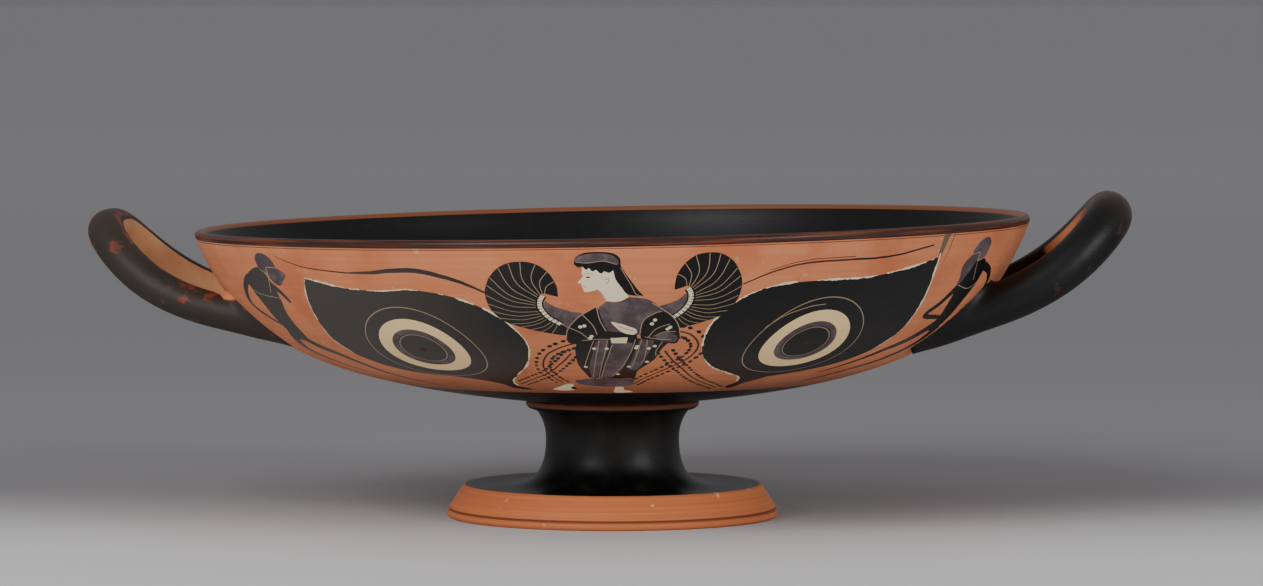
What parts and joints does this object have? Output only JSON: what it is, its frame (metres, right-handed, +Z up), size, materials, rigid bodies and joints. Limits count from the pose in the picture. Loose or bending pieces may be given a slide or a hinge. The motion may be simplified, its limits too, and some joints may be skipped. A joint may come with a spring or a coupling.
{
  "type": "greek kylix drinking cup",
  "caption": "Wide shallow stemmed drinking cup of painted clay with a disc foot, two looped side handles, eyes and a winged figure painted on its outside.",
  "frame": {"origin": "middle of the underside, on the surface the cup stands on", "axes": "+Z up, X through the two handles, painted front towards -Y"},
  "size_m": [0.3816, 0.3048, 0.1193],
  "materials": {
    "painted_clay": "orange clay burnished to a soft sheen, painted outside with black gloss, purple and white figures; black gloss inside, on the stem and on the handles"
  },
  "bodies": {
    "root": {"kylix": "painted_clay"}
  },
  "joints": []
}
